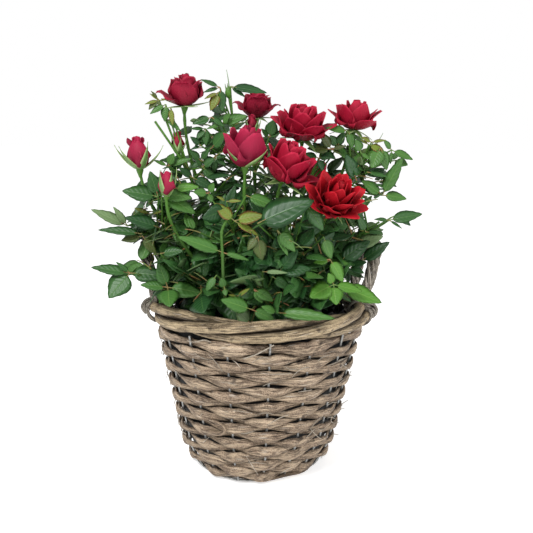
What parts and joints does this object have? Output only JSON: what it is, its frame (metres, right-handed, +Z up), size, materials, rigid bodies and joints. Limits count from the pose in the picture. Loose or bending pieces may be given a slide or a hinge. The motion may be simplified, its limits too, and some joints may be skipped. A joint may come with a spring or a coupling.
{
  "type": "potted miniature rose bush",
  "caption": "Miniature rose bush with red blooms and buds on leafy canes, growing in soil in a lined, woven willow basket with loop handles.",
  "frame": {"origin": "middle of the basket's flat underside, on the ground", "axes": "+Z up, +X to the right and -Y to the front of the basket, with a handle on each side, at -X and +X"},
  "size_m": [0.2552, 0.1904, 0.3133],
  "materials": {
    "weave_willow": "weathered split willow",
    "border_willow": "pale peeled willow",
    "handle_willow": "grey twisted willow",
    "wire": "zinc coated",
    "liner_film": "thin black film",
    "soil": "moist peat",
    "stem": "smooth green bark",
    "petal": "velvety",
    "leaf": "satin leaf"
  },
  "bodies": {
    "root": {"base_mat": "weave_willow", "bloom_back_right": "petal", "bloom_centre_back": "petal", "bloom_centre_front": "petal", "bloom_centre_high": "petal", "bloom_front": "petal", "bloom_left_high": "petal", "bloom_right_front": "petal", "bloom_right_high": "petal", "border_rod_1": "border_willow", "border_rod_2": "border_willow", "border_rod_3": "border_willow", "cane_back_right": "stem", "cane_centre_back": "stem", "cane_centre_front": "stem", "cane_centre_high": "stem", "cane_front": "stem", "cane_left_bud": "stem", "cane_left_front_bud": "stem", "cane_left_high": "stem", "cane_right_front": "stem", "cane_right_high": "stem", "foliage_back_left_low": "leaf", "foliage_back_low": "leaf", "foliage_back_right_low": "leaf", "foliage_centre_left_high": "leaf", "foliage_centre_middle": "leaf", "foliage_centre_upper": "leaf", "foliage_front_left_low": "leaf", "foliage_front_low": "leaf", "foliage_front_right_low": "leaf", "foliage_left_low": "leaf", "foliage_left_middle": "leaf", "foliage_left_upper": "leaf", "foliage_right_front_middle": "leaf", "foliage_right_middle": "leaf", "foliage_right_upper": "leaf", "handle_left": "handle_willow", "handle_right": "handle_willow", "liner": "liner_film", "soil": "soil", "weave_row_01": "weave_willow", "weave_row_02": "weave_willow", "weave_row_03": "weave_willow", "weave_row_04": "weave_willow", "weave_row_05": "weave_willow", "weave_row_06": "weave_willow", "weave_row_07": "weave_willow", "weave_row_08": "weave_willow", "weave_row_09": "weave_willow", "weave_row_10": "weave_willow", "weave_row_11": "weave_willow", "weave_row_12": "weave_willow", "weave_row_13": "weave_willow", "weave_row_14": "weave_willow", "weave_row_15": "weave_willow", "weave_row_16": "weave_willow", "weave_row_17": "weave_willow", "weave_row_18": "weave_willow", "wire_frame": "wire"}
  },
  "joints": []
}
